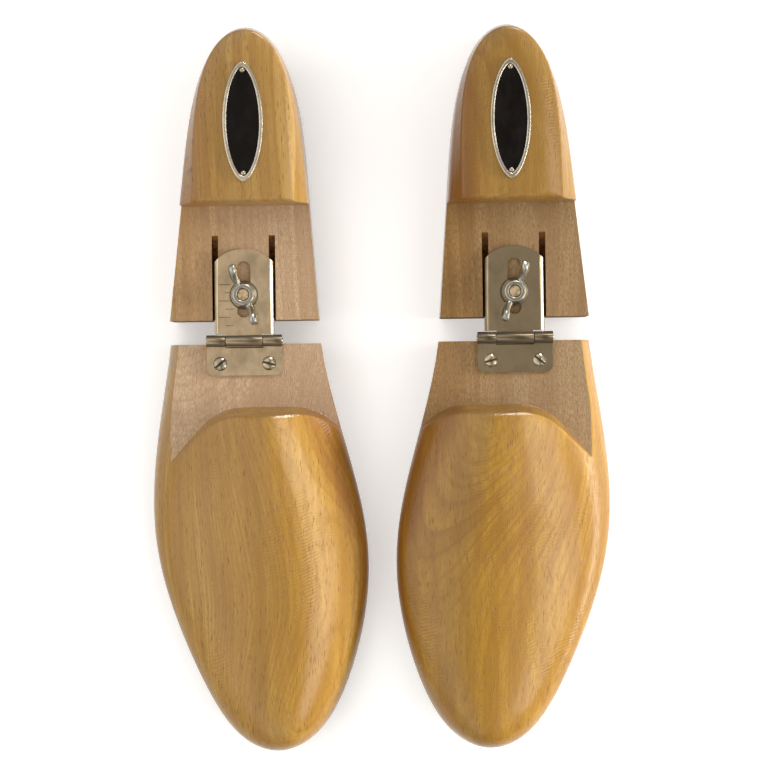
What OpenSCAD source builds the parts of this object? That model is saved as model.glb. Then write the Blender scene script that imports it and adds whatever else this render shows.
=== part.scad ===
// A pair of hinged wooden shoe trees, mirror images of each other, lying flat with the toes towards -Y.
// Each tree is drawn for the right foot about its own hinge: +X is the inner side, +Y leads to the heel.

/* [Pair] */
// Distance between the hinge centres of the two trees
pair_spacing = 110; // [106:1:160]
// Height of the sawn decks above the floor
deck_h = 22; // [19:0.5:26]

/* [Forepart block] */
// Hinge axis to the tip of the toe
toe_len = 168; // [155:1:185]
// Width across the ball
ball_w = 87; // [78:1:92]
// Hinge axis to the ball
ball_at = 80; // [72:1:88]
// Width of the sawn rear end
tail_w = 62; // [56:1:66]
// Flare of each side at the rear end, in degrees
tail_flare = 6.8; // [4:0.2:9]
// Hinge axis to the sawn rear end
tail_gap = 1.2; // [1.1:0.1:2]
// How far the toe swings to the inner side
toe_swing = 11.2; // [6:0.2:16]
// Share of its width that the toe loses against an ellipse
toe_taper = 0.07; // [0:0.01:0.14]
// Height of the vamp behind its crest
vamp_h = 43; // [38:0.5:48]
// Height of the ridge that runs out over the toe
toe_h = 25; // [20:0.5:28]
// Height of the foremost point of the toe
nose_h = 13; // [11:0.5:16]
// Bluntness of the toe, seen from the side
nose_round = 16; // [6:1:24]
// Lift of the sole under the toe
toe_spring = 7; // [3:0.5:8]
// Height of the outer side's widest line
outer_edge_h = 9; // [7:0.5:12]
// Height of the inner side's widest line at the hinge
inner_edge_h = 21; // [15:0.5:24]
// Shift of the crest to the inner side, as a share of the half width
crest_shift = 0.22; // [0:0.02:0.35]
// Hinge axis to the straight back of the vamp
arch_at = 27; // [25:0.5:34]
// Length of the straight back
arch_w = 19; // [14:0.5:24]
// Radius of the corners beside it
arch_r = 25; // [22:0.5:28]
// Offset of the straight back to the inner side
arch_shift = 9.5; // [5:0.5:12]
// Slant of the vamp's outer side against the straight back, in degrees
arch_slant = 48.5; // [44:0.5:54]
// Lean of the vamp's wall above the deck, in degrees
wall_lean = 10; // [4:0.5:14]
// Rounding of the vamp's back edge
lip_r = 4; // [3:0.5:6]

/* [Heel block] */
// Hinge axis to the sawn front end
heel_gap = 8.5; // [8:0.5:12]
// Hinge axis to the back of the heel
heel_back = 127; // [118:1:136]
// Width of the sawn front end
heel_front_w = 60.5; // [54:0.5:66]
// Width where the heel rises from the deck
heel_step_w = 52; // [46:0.5:56]
// Hinge axis to the rise of the heel
step_at = 55; // [53:0.5:60]
// Height of the heel
heel_h = 43; // [36:0.5:50]
// Rise of the heel's top from its edges to the flat under the plate
heel_crown = 1.2; // [0.4:0.2:2]
// Bevel along the front edge of the raised heel
step_bevel = 2.2; // [1:0.2:4]
// Width of the side chamfers at the front of the raised heel
chamfer_w = 5.8; // [3:0.2:8]
// Depth of the side chamfers
chamfer_h = 10; // [6:0.5:14]
// How far the back leans in at the top
back_lean = 3; // [1:0.5:6]
// Rounding of the lower edge
foot_r = 3; // [2:0.5:5]
// Shift of the back to the inner side
heel_swing = 2.4; // [0:0.2:4]
// Width of the saw grooves for the leaf's flanges
groove_w = 2.6; // [2.2:0.1:3.2]
// Length of the saw grooves
groove_len = 34.5; // [33:0.5:38]
// Depth of the saw grooves
groove_depth = 8; // [7:0.5:10]
// Radius of the saw that cut the grooves
saw_r = 32; // [25:1:40]

/* [Hinge] */
// Thickness of the leaves
sheet_t = 1.2; // [1:0.1:1.5]
// Diameter of the hinge pin
pin_d = 2.4; // [2:0.1:3]
// Length of the barrel
barrel_len = 30.6; // [28:0.2:34]
// Length of the middle knuckle
middle_len = 15; // [13:0.2:18]
// Hinge axis to the front edge of the fixed leaf
fixed_len = 14; // [13.2:0.2:17]
// Corner radius of the fixed leaf
corner_r = 3; // [1.5:0.5:4]
// Ends of the fixed leaf to its screws
screw_inset = 5.4; // [4.6:0.1:6]
// Hinge axis to the leaf screws
screw_at = 9.2; // [8.8:0.1:9.8]
// Diameter of the screw heads
screw_head_d = 5.6; // [5:0.1:6]
// Diameter of the screw shanks
screw_d = 2.6; // [2.2:0.1:3]
// Length of the screws under the leaf
screw_len = 13; // [10:0.5:16]
// Width of the sliding leaf
leaf_w = 24.4; // [22:0.2:27]
// Hinge axis to the rounded end of the sliding leaf
leaf_end = 37.5; // [36.6:0.1:38]
// Depth of the rounded end
leaf_bow = 5.6; // [3:0.2:7]
// Depth of the flanges below the leaf
flange_depth = 5; // [3:0.5:6]
// Outer bend radius of the flanges
bend_r = 1.8; // [1.6:0.1:2]
// Hinge axis to the near end of the slot
slot_from = 9.6; // [9:0.1:9.9]
// Hinge axis to the far end of the slot
slot_to = 32.4; // [32:0.1:33]
// Pitch of the full-size lines of the scale
scale_pitch = 6.67; // [6:0.01:7]

/* [Clamp] */
// Diameter of the bolt
bolt_d = 5; // [4.6:0.1:5]
// Front end of the heel block to the bolt
bolt_setback = 10.2; // [10:0.1:11]
// Diameter of the bolt's round head
bolt_head_d = 12; // [10:0.5:14]
// Height of the bolt's round head
bolt_head_h = 3; // [2:0.5:4]
// Diameter of the wing nut's foot
nut_d = 11.6; // [10:0.2:13]
// Diameter of the wing nut's top
nut_top_d = 8.4; // [7.4:0.2:9.4]
// Height of the wing nut's body
nut_h = 6; // [5:0.5:8]
// Span of the wings
wing_span = 26; // [22:0.5:26]
// Thickness of the wings
wing_t = 2.8; // [2:0.1:3.2]
// Radius of the wings' rounded ends
wing_r = 2.9; // [2.5:0.1:3.4]
// Height of the wings
wing_h = 11.4; // [10:0.2:12]
// Turn of the wings away from the tree's length, in degrees
wing_turn = 20; // [-90:5:90]

/* [Name plate] */
// Length of the plate
plate_len = 47.8; // [40:0.2:52]
// Width of the plate
plate_w = 16; // [14:0.2:19]
// Hinge axis to the middle of the plate
plate_at = 87; // [85:0.5:89]
// Thickness of the plate with its rim
plate_t = 1; // [0.8:0.1:1.4]
// Width of the raised rim
rim_w = 1.4; // [1:0.1:1.8]
// Depth of the field inside the rim
field_depth = 0.5; // [0.3:0.05:0.6]
// Thickness of the enamel in the field
enamel_t = 0.35; // [0.2:0.05:0.5]
// Distance from the tips of the plate to its pins
pin_inset = 3.4; // [3:0.1:4]
// Diameter of the plate pins' heads
tack_head_d = 2.2; // [1.8:0.1:2.6]
// Diameter of the plate pins' shanks
tack_d = 1.2; // [1:0.1:1.4]
// Length of the plate pins under the plate
tack_len = 9; // [6:0.5:12]

/* [Fits] */
// Radial clearance of the pin, the bolt and the screws in their holes
fit = 0.05; // [0.02:0.01:0.1]
// Clearance of the leaves on the decks and of the nut on the leaf
seat = 0.05; // [0.02:0.01:0.1]
// Gap between neighbouring knuckles
knuckle_gap = 0.2; // [0.1:0.05:0.3]
// Clearance between the bolt and each side of the slot
slot_play = 0.3; // [0.2:0.05:0.4]

/* [Hidden] */
$fn = 64;
PIECES = [
    "forepart_block", "fixed_leaf", "inner_leaf_screw", "outer_leaf_screw", "hinge_pin",
    "sliding_leaf", "heel_block", "clamp_bolt", "wing_nut",
    "name_plate", "plate_enamel", "front_plate_pin", "back_plate_pin"
];

varnished_beech = "#d8a860";
nickel = "#c9c4b6";
black_enamel = "#1c1614";

// Place of the hinges that puts the origin under the middle of the pair
hinge_y = (toe_len - heel_back) / 2;
// Barrel of the hinge: the sheet rolled round the pin
bore_r = pin_d / 2 + fit;
barrel_r = bore_r + sheet_t;
axis_z = deck_h + seat + barrel_r;
leaf_top = deck_h + seat + sheet_t;
// Rolled seam of the knuckles
seam_w = 0.25;
knuckle_root = 0.4;
outer_len = (barrel_len - middle_len) / 2 - knuckle_gap;
notch_clearance = 0.4;
// Flanges run in the middle of the grooves
flange_x = leaf_w / 2 - sheet_t / 2;
bolt_y = heel_gap + bolt_setback;
slot_w = bolt_d + 2 * slot_play;
nut_z = leaf_top + seat;
// The bolt ends a little below the top of the nut
bolt_short = 0.8;
bolt_top = nut_z + nut_h - bolt_short;
// Height at which the wings leave the nut, above its foot and below its top
wing_foot = 0.8;
wing_drop = 0.4;
grip_share = 0.97;
// Recess in the underside that hides the bolt's head
bolt_sink = 3;
bolt_recess = bolt_head_h + bolt_sink;
recess_play = 0.5;
neck_w = bolt_d + 0.2;
neck_h = 3;
head_depth = (screw_head_d - screw_d) / 2;
head_rise = 0.9;
slot_cut = [0.9, 0.9];
inner_slot_turn = -15;
outer_slot_turn = 38;
// Lines of the scale: width and depth, place of the first one, and how far they stop short
line = [0.35, 0.25];
line_count = 6;
line_lead = 3.4;
line_inset = 2.6;
field_floor = plate_t - field_depth;
// The rim is wider at the tips
tip_rim_w = 1.5 * rim_w;
plate_points = 80;
plate_point = 1.2;
// Fullness of a section's quarters towards their edge and their peak, behind the ball and at the toe
full_outer = [[0.42, 0.5], [0.6, 0.6]];
full_sole = [[0.7, 0.85], [0.7, 0.6]];
// The inner side fills out all the way from the hinge to the toe
full_inner = [[0.3, 0.36], [0.6, 0.6]];
// Flare of the vamp's inner side ahead of its corner, in degrees
arch_flare = 20;
// Bend of the ridge from the vamp to the toe, and the depth of sole that is cut off flat
ridge_bend = 2;
sole_cut = 1;
// Height of the heel's fullest ring, as a share, and the lean that is reached below the chamfers
belly_share = 0.4;
lean_share = 0.3;
// Width of the rounded border of the heel's top
crown_w = 10;
// Points that each smooth surface is lofted through
tail_rings = 12;
toe_rings = 20;
arc_steps = 9;
arch_points = 96;
lip_steps = 8;
heel_steps = 30;
crown_rings = 4;
margin = 10;

function mix(a, b, t) = a + (b - a) * t;
function hermite(a, b, slope_a, slope_b, t) =
    a * (2 * t^3 - 3 * t^2 + 1) + slope_a * (t^3 - 2 * t^2 + t)
    + b * (3 * t^2 - 2 * t^3) + slope_b * (t^3 - t^2);
function bezier(p, q, r, s, t) =
    p * (1 - t)^3 + 3 * q * t * (1 - t)^2 + 3 * r * t^2 * (1 - t) + s * t^3;

// Forepart: lines of the last, at a distance d ahead of the hinge axis
function toe_share(d) = max(0, (d - ball_at) / (toe_len - ball_at));
function half_w(d) =
    let (t = toe_share(d))
    d < ball_at
        ? hermite(tail_w / 2, ball_w / 2, tan(tail_flare) * ball_at, 0, d / ball_at)
        : ball_w / 2 * sqrt(1 - t^2) * (1 - 4 * toe_taper * t^2 * (1 - t^2));
function centre_x(d) = toe_swing * (1 - cos(180 * d / toe_len)) / 2;
function closing(d) = sqrt(1 - toe_share(d)^nose_round);
function ridge_z(d) =
    mix(toe_h, vamp_h, pow(1 - max(0, (d - arch_at) / (toe_len - arch_at)), ridge_bend));
function top_z(d) = mix(nose_h, ridge_z(d), closing(d));
function sole_z(d) = mix(nose_h, toe_spring * toe_share(d)^2 - sole_cut, closing(d));
function outer_z(d) = mix(nose_h, outer_edge_h, closing(d));
function inner_z(d) =
    mix(nose_h, hermite(inner_edge_h, outer_edge_h, 0, 0, min(1, d / toe_len)), closing(d));

// Quarter of a section, from its widest point to its crest or its sole
function quarter(edge, peak, full, u) =
    bezier(
        edge, [edge.x, mix(edge.y, peak.y, full.x)],
        [mix(peak.x, edge.x, full.y), peak.y], peak, u
    );
function section(d) =
    let (
        c = centre_x(d), h = half_w(d), t = toe_share(d),
        outer = [c - h, outer_z(d)], inner = [c + h, inner_z(d)],
        peak = [c + crest_shift * h, top_z(d)], sole = [c, sole_z(d)],
        shares = [for (i = [0 : arc_steps - 1]) i / arc_steps]
    )
    [
        for (u = shares) quarter(outer, peak, mix(full_outer[0], full_outer[1], t), u),
        for (u = shares) quarter(inner, peak, mix(full_inner[0], full_inner[1], d / toe_len), 1 - u),
        for (u = shares) quarter(inner, sole, mix(full_sole[0], full_sole[1], t), u),
        for (u = shares) quarter(outer, sole, mix(full_sole[0], full_sole[1], t), 1 - u)
    ];
function forepart_ring(d) = [for (p = section(d)) [p.x, -d, p.y]];

// Outline of the vamp at a height z: a band round four posts, set in from its full size
function arch_ring(inset, z) =
    let (
        reach = 3 * arch_r,
        inner = [arch_shift + arch_w / 2, -arch_at - arch_r],
        outer = inner - [arch_w, 0],
        posts = [
            inner, outer, outer - reach * [cos(arch_slant), sin(arch_slant)],
            inner + reach * [sin(arch_flare), -cos(arch_flare)]
        ]
    )
    [
        for (i = [0 : arch_points - 1])
            let (
                a = -360 * i / arch_points,
                way = [cos(a), sin(a)],
                leads = [for (p = posts) p * way],
                ahead = [for (k = [0 : 3]) if (leads[k] == max(leads)) posts[k]],
                p = ahead[0] + (arch_r - inset) * way
            )
            [p.x, p.y, z]
    ];

// Heel: an outline of the block, from its front end round the back, at a height z
function heel_centre(y) = heel_swing * (y - heel_gap) / (heel_back - heel_gap);
function heel_side(y) =
    mix(heel_front_w, heel_step_w, (y - heel_gap) / (step_at - heel_gap)) / 2;
function heel_share(y, back) = max(0, (y - step_at) / (back - step_at));
function heel_half(y, back, inset, chamfer) =
    let (s = heel_share(y, back))
    (heel_side(y) - inset - chamfer * (1 - s)) * sqrt(1 - s^4);
function heel_ring(z, inset, tuck, chamfer) =
    let (back = heel_back - tuck)
    [
        for (i = [-heel_steps : heel_steps])
            let (
                u = i / heel_steps,
                y = i == 0 ? back : mix(heel_gap, back, cos(90 * u)),
                w = i == 0 ? 0 : heel_half(y, back, inset, chamfer)
            )
            [heel_centre(y) + sign(u) * w, y, z]
    ];

// Point where a line from p touches a circle, on its left or its right
function tangent(p, centre, r, side) =
    let (
        v = centre - p, reach = norm(v), a = side * asin(r / reach),
        run = sqrt(reach^2 - r^2) / reach
    )
    p + run * [v.x * cos(a) - v.y * sin(a), v.x * sin(a) + v.y * cos(a)];

// Pointed oval
function oval(length, width) =
    [
        for (i = [0 : plate_points - 1])
            let (a = 360 * (i + 0.5) / plate_points)
            [width / 2 * sign(cos(a)) * pow(abs(cos(a)), plate_point), length / 2 * sin(a)]
    ];

module right() {
    translate([-pair_spacing / 2, hinge_y, 0])
        children();
}

module left() {
    mirror([1, 0, 0])
        right()
            children();
}

// Closed skin over a stack of rings, run out to a tip where one is given
module loft(rings, tip) {
    count = len(rings[0]);
    last = len(rings) - 1;
    sides = [
        for (i = [0 : last - 1])
            for (j = [0 : count - 1])
                let (a = i * count + j, b = i * count + (j + 1) % count)
                each [[a, b, a + count], [b, b + count, a + count]]
    ];
    first_cap = [[for (j = [count - 1 : -1 : 0]) j]];
    end = last * count;
    last_cap = tip == undef
        ? [[for (j = [0 : count - 1]) end + j]]
        : [for (j = [0 : count - 1]) [end + j, end + (j + 1) % count, end + count]];
    polyhedron(
        points = [each each rings, if (tip != undef) tip],
        faces = concat(sides, first_cap, last_cap)
    );
}

module forepart_loft() {
    ahead = concat(
        [for (i = [0 : tail_rings]) mix(tail_gap, ball_at, i / tail_rings)],
        [for (i = [1 : toe_rings - 1]) mix(ball_at, toe_len, sin(90 * i / toe_rings))]
    );
    loft([for (d = ahead) forepart_ring(d)], [centre_x(toe_len), -toe_len, nose_h]);
}

// What stays above the deck, with its upper edge rounded
module vamp_hump() {
    spare = 0.5;
    lip_z = vamp_h + spare - lip_r;
    wall_h = lip_z + lip_r * sin(wall_lean) - deck_h;
    lip_inset = wall_h * tan(wall_lean) + lip_r * cos(wall_lean);
    turns = [for (i = [0 : lip_steps]) mix(wall_lean, 90, i / lip_steps)];
    lip = [for (a = turns) arch_ring(lip_inset - lip_r * cos(a), lip_z + lip_r * sin(a))];
    loft(concat([arch_ring(-margin * tan(wall_lean), deck_h - margin)], lip));
}

module forepart_deck_cut() {
    ahead = arch_at + 2 * arch_r;
    difference() {
        translate([-ball_w, -ahead, deck_h])
            cube([2 * ball_w, ahead + margin, vamp_h]);
        vamp_hump();
    }
}

module leaf_screw_place(side) {
    translate([side * (barrel_len / 2 - screw_inset), -screw_at, leaf_top])
        children();
}

// Screw body below the top of the leaf, with a clearance all round
module leaf_screw_body(clearance) {
    r = screw_d / 2 + clearance;
    translate([0, 0, -head_depth - clearance])
        cylinder(r1 = r, r2 = screw_head_d / 2 + clearance, h = head_depth + clearance);
    translate([0, 0, -sheet_t - screw_len - clearance])
        cylinder(r = r, h = screw_len + clearance);
}

module forepart_block() {
    color(varnished_beech)
        difference() {
            forepart_loft();
            forepart_deck_cut();
            translate([-ball_w, -toe_len - margin, -margin])
                cube([2 * ball_w, toe_len + 2 * margin, margin]);
            for (side = [-1, 1])
                leaf_screw_place(side)
                    leaf_screw_body(fit);
        }
}

// Knuckle of a leaf that lies on the side of the axis given, rolled up and over the pin
module knuckle(side, length) {
    rotate([90, 0, 90])
        linear_extrude(length, center = true)
            difference() {
                union() {
                    circle(r = barrel_r);
                    translate([side > 0 ? knuckle_root : -barrel_r - knuckle_root, -barrel_r])
                        square([barrel_r, sheet_t]);
                }
                circle(r = bore_r);
                translate([side > 0 ? knuckle_root : -2 * barrel_r - knuckle_root, -bore_r])
                    square([2 * barrel_r, seam_w]);
            }
}

module fixed_leaf_outline() {
    difference() {
        union() {
            translate([-barrel_len / 2, corner_r - fixed_len])
                square([barrel_len, fixed_len - corner_r - knuckle_root]);
            translate([corner_r - barrel_len / 2, -fixed_len])
                square([barrel_len - 2 * corner_r, fixed_len - knuckle_root]);
            for (side = [-1, 1])
                translate([side * (barrel_len / 2 - corner_r), corner_r - fixed_len])
                    circle(r = corner_r);
        }
        notch_w = middle_len + 2 * knuckle_gap;
        translate([-notch_w / 2, -barrel_r - notch_clearance])
            square([notch_w, fixed_len]);
    }
}

module fixed_leaf() {
    color(nickel)
        difference() {
            union() {
                translate([0, 0, deck_h + seat])
                    linear_extrude(sheet_t)
                        fixed_leaf_outline();
                for (side = [-1, 1])
                    translate([side * (barrel_len - outer_len) / 2, 0, axis_z])
                        knuckle(-1, outer_len);
            }
            for (side = [-1, 1])
                leaf_screw_place(side)
                    leaf_screw_body(fit);
        }
}

module leaf_screw(side, slot_turn) {
    dome_r = (screw_head_d^2 / 4 + head_rise^2) / (2 * head_rise);
    color(nickel)
        leaf_screw_place(side)
            difference() {
                union() {
                    leaf_screw_body(0);
                    intersection() {
                        translate([0, 0, head_rise - dome_r])
                            sphere(r = dome_r);
                        cylinder(d = screw_head_d, h = 2 * head_rise);
                    }
                }
                rotate([0, 0, slot_turn])
                    translate([-screw_head_d, -slot_cut.x / 2, head_rise - slot_cut.y])
                        cube([2 * screw_head_d, slot_cut.x, head_rise]);
            }
}

module inner_leaf_screw() {
    leaf_screw(1, inner_slot_turn);
}

module outer_leaf_screw() {
    leaf_screw(-1, outer_slot_turn);
}

module hinge_pin() {
    end = 0.4;
    color(nickel)
        translate([0, 0, axis_z])
            rotate([0, 90, 0]) {
                cylinder(d = pin_d, h = barrel_len, center = true);
                for (side = [0, 1])
                    mirror([0, 0, side])
                        translate([0, 0, barrel_len / 2])
                            cylinder(d1 = pin_d, d2 = pin_d - 2 * end, h = end);
            }
}

module sliding_leaf_outline() {
    bow_r = (leaf_w^2 / 4 + leaf_bow^2) / (2 * leaf_bow);
    front = barrel_r + notch_clearance;
    intersection() {
        translate([-leaf_w / 2, front])
            square([leaf_w, leaf_end - front]);
        union() {
            translate([0, leaf_end - bow_r])
                circle(r = bow_r);
            translate([-leaf_w, 0])
                square([2 * leaf_w, leaf_end - bow_r]);
        }
    }
}

// Channel with bent-down flanges, open towards the deck
module leaf_channel() {
    inner_w = leaf_w - 2 * sheet_t;
    height = flange_depth + sheet_t;
    translate([0, leaf_end, leaf_top])
        rotate([90, 0, 0])
            linear_extrude(leaf_end)
                difference() {
                    union() {
                        translate([bend_r - leaf_w / 2, -height])
                            square([leaf_w - 2 * bend_r, height]);
                        translate([-leaf_w / 2, -height])
                            square([leaf_w, height - bend_r]);
                        for (side = [-1, 1])
                            translate([side * (leaf_w / 2 - bend_r), -bend_r])
                                circle(r = bend_r);
                    }
                    translate([-inner_w / 2, -height - margin])
                        square([inner_w, flange_depth + margin]);
                }
}

// Side view of the leaf: its flanges stop short and slant at the far end
module leaf_side_view() {
    front = barrel_r + notch_clearance;
    shoulder = leaf_end - leaf_bow;
    under = leaf_top - sheet_t;
    rotate([90, 0, 90])
        linear_extrude(2 * leaf_w, center = true)
            polygon([
                [front, leaf_top + margin], [leaf_end, leaf_top + margin],
                [leaf_end, under], [shoulder, under],
                [shoulder - flange_depth, under - flange_depth], [front, under - flange_depth]
            ]);
}

module slot_outline() {
    translate([-slot_w / 2, slot_from + slot_w / 2])
        square([slot_w, slot_to - slot_from - slot_w]);
    for (y = [slot_from + slot_w / 2, slot_to - slot_w / 2])
        translate([0, y])
            circle(d = slot_w);
}

// Lines at each full and half size, cut into the outer half of the leaf
module size_lines() {
    for (i = [0 : line_count - 1]) {
        long = i % 2 == 1;
        from = -leaf_w / 2 + bend_r + (long ? 0 : line_inset);
        to = -slot_w / 2 - (long ? line_inset : line_inset / 2);
        translate([from, slot_from - line_lead + i * scale_pitch / 2, leaf_top - line.y])
            cube([to - from, line.x, margin]);
    }
}

module sliding_leaf(lined) {
    color(nickel)
        difference() {
            union() {
                intersection() {
                    leaf_channel();
                    leaf_side_view();
                    translate([0, 0, deck_h - flange_depth - margin])
                        linear_extrude(flange_depth + 2 * margin)
                            sliding_leaf_outline();
                }
                translate([-middle_len / 2, knuckle_root, deck_h + seat])
                    cube([middle_len, 2 * barrel_r, sheet_t]);
                translate([0, 0, axis_z])
                    knuckle(1, middle_len);
            }
            translate([0, 0, deck_h - margin])
                linear_extrude(2 * margin)
                    slot_outline();
            if (lined)
                size_lines();
        }
}

module heel_loft() {
    foot = [for (a = [0 : 30 : 90]) [foot_r * (1 - cos(a)), foot_r * (1 - sin(a))]];
    belly_h = (foot_r + heel_h) * belly_share;
    loft([
        for (p = foot) heel_ring(p.x, p.y, p.y, 0),
        heel_ring(belly_h, 0, 0, 0),
        heel_ring(heel_h - chamfer_h, 0, back_lean * lean_share, 0),
        for (i = [0 : crown_rings])
            let (u = i / crown_rings)
            heel_ring(heel_h - heel_crown * (1 - u)^2, crown_w * u, back_lean + crown_w * u, chamfer_w)
    ]);
}

// Saw cut that runs out in the round of the blade
module groove() {
    run_out = sqrt(saw_r^2 - (saw_r - groove_depth)^2);
    floor_z = deck_h - groove_depth;
    translate([-groove_w / 2, heel_gap - margin, floor_z])
        cube([groove_w, groove_len - run_out + margin, groove_depth + seat]);
    intersection() {
        translate([-groove_w / 2, heel_gap + groove_len - run_out, floor_z + saw_r])
            rotate([0, 90, 0])
                cylinder(r = saw_r, h = groove_w);
        translate([-groove_w, heel_gap, floor_z - seat])
            cube([2 * groove_w, groove_len + margin, groove_depth + 2 * seat]);
    }
}

module heel_block() {
    color(varnished_beech)
        difference() {
            heel_loft();
            translate([-heel_front_w, heel_gap - margin, deck_h])
                cube([2 * heel_front_w, step_at - heel_gap + margin, heel_h]);
            translate([0, step_at, heel_h])
                rotate([45, 0, 0])
                    cube([2 * heel_front_w, sqrt(2) * step_bevel, sqrt(2) * step_bevel], center = true);
            for (side = [-1, 1])
                translate([side * flange_x, 0, 0])
                    groove();
            bolt_hole();
            for (side = [-1, 1])
                plate_pin_place(side)
                    plate_pin_hole();
        }
}

module bolt_hole() {
    translate([0, bolt_y, 0]) {
        cylinder(r = bolt_d / 2 + fit, h = deck_h + margin);
        translate([0, 0, -margin])
            cylinder(r = bolt_head_d / 2 + recess_play, h = bolt_recess + margin);
        translate([-neck_w / 2 - fit, -neck_w / 2 - fit, 0])
            cube([neck_w + 2 * fit, neck_w + 2 * fit, bolt_recess + neck_h + fit]);
    }
}

// Round-head bolt with a square neck that keeps it from turning
module clamp_bolt() {
    crown_r = (bolt_head_d^2 / 4 + bolt_head_h^2) / (2 * bolt_head_h);
    tip = 0.6;
    color(nickel)
        translate([0, bolt_y, 0]) {
            intersection() {
                translate([0, 0, bolt_recess - bolt_head_h + crown_r])
                    sphere(r = crown_r);
                cylinder(r = bolt_head_d, h = bolt_recess);
            }
            translate([-neck_w / 2, -neck_w / 2, bolt_recess - seat])
                cube([neck_w, neck_w, neck_h + seat]);
            translate([0, 0, bolt_recess])
                cylinder(d = bolt_d, h = bolt_top - tip - bolt_recess);
            translate([0, 0, bolt_top - tip])
                cylinder(d1 = bolt_d, d2 = bolt_d - tip, h = tip);
        }
}

module wing_outline() {
    centre = [wing_span / 2 - wing_r, wing_h - wing_r];
    low = [nut_top_d / 2, wing_foot];
    high = [nut_top_d / 2, nut_h - wing_drop];
    grip = grip_share * wing_r;
    translate(centre)
        circle(r = wing_r);
    polygon([
        [0, low.y], low, tangent(low, centre, grip, -1), centre,
        tangent(high, centre, grip, 1), high, [0, high.y]
    ]);
}

module wing_nut() {
    color(nickel)
        translate([0, bolt_y, nut_z])
            rotate([0, 0, 90 + wing_turn])
                difference() {
                    union() {
                        cylinder(d1 = nut_d, d2 = nut_top_d, h = nut_h);
                        for (side = [0, 1])
                            mirror([side, 0, 0])
                                rotate([90, 0, 0])
                                    linear_extrude(wing_t, center = true)
                                        wing_outline();
                    }
                    translate([0, 0, -margin])
                        cylinder(r = bolt_d / 2 + fit, h = nut_h + 2 * margin);
                }
}

module plate_place() {
    translate([heel_centre(plate_at), plate_at, heel_h])
        children();
}

module plate_pin_place(side) {
    plate_place()
        translate([0, side * (plate_len / 2 - pin_inset), 0])
            children();
}

module plate_pin_hole() {
    translate([0, 0, -tack_len - fit])
        cylinder(r = tack_d / 2 + fit, h = tack_len + plate_t + margin);
}

module field_outline() {
    polygon(oval(plate_len - 2 * tip_rim_w, plate_w - 2 * rim_w));
}

module name_plate() {
    color(nickel)
        difference() {
            plate_place()
                linear_extrude(plate_t)
                    polygon(oval(plate_len, plate_w));
            plate_place()
                translate([0, 0, field_floor])
                    linear_extrude(plate_t)
                        field_outline();
            for (side = [-1, 1])
                plate_pin_place(side)
                    plate_pin_hole();
        }
}

module plate_enamel() {
    color(black_enamel)
        difference() {
            plate_place()
                translate([0, 0, field_floor])
                    linear_extrude(enamel_t)
                        field_outline();
            for (side = [-1, 1])
                plate_pin_place(side)
                    plate_pin_hole();
        }
}

module plate_pin(side) {
    rise = 0.7;
    dome_r = (tack_head_d^2 / 4 + rise^2) / (2 * rise);
    head_z = field_floor + enamel_t;
    color(nickel)
        plate_pin_place(side) {
            translate([0, 0, -tack_len])
                cylinder(d = tack_d, h = tack_len + head_z);
            intersection() {
                translate([0, 0, head_z + rise - dome_r])
                    sphere(r = dome_r);
                translate([0, 0, head_z])
                    cylinder(d = 2 * tack_head_d, h = 2 * rise);
            }
        }
}

module front_plate_pin() {
    plate_pin(-1);
}

module back_plate_pin() {
    plate_pin(1);
}

right() forepart_block();  // right_forepart_block
right() fixed_leaf();  // right_fixed_leaf
right() inner_leaf_screw();  // right_inner_leaf_screw
right() outer_leaf_screw();  // right_outer_leaf_screw
right() hinge_pin();  // right_hinge_pin
right() sliding_leaf(true);  // right_sliding_leaf
right() heel_block();  // right_heel_block
right() clamp_bolt();  // right_clamp_bolt
right() wing_nut();  // right_wing_nut
right() name_plate();  // right_name_plate
right() plate_enamel();  // right_plate_enamel
right() front_plate_pin();  // right_front_plate_pin
right() back_plate_pin();  // right_back_plate_pin
left() forepart_block();  // left_forepart_block
left() fixed_leaf();  // left_fixed_leaf
left() inner_leaf_screw();  // left_inner_leaf_screw
left() outer_leaf_screw();  // left_outer_leaf_screw
left() hinge_pin();  // left_hinge_pin
left() sliding_leaf(false);  // left_sliding_leaf
left() heel_block();  // left_heel_block
left() clamp_bolt();  // left_clamp_bolt
left() wing_nut();  // left_wing_nut
left() name_plate();  // left_name_plate
left() plate_enamel();  // left_plate_enamel
left() front_plate_pin();  // left_front_plate_pin
left() back_plate_pin();  // left_back_plate_pin
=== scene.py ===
"""Looks of the pair of hinged shoe trees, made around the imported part."""
import math

import bmesh
import bpy
import numpy as np
from mathutils import Matrix, Vector


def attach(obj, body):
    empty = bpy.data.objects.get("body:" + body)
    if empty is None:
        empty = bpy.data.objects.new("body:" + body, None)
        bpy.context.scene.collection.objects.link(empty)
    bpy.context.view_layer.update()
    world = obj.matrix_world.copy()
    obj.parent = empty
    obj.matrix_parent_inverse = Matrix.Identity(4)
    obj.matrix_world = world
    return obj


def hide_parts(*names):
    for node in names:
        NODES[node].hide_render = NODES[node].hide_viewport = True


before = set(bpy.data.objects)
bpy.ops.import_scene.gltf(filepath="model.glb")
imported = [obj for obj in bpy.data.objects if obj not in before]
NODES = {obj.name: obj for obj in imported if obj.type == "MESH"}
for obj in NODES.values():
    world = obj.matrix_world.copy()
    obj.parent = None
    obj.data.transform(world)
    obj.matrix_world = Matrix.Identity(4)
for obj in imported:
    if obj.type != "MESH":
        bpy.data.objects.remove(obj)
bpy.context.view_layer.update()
SIDES = ("right", "left")
MM = 0.001

# Sizes in millimetres, as in the part's source: the pair
PAIR_SPACING, DECK_H = 110.0, 22.0

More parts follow.
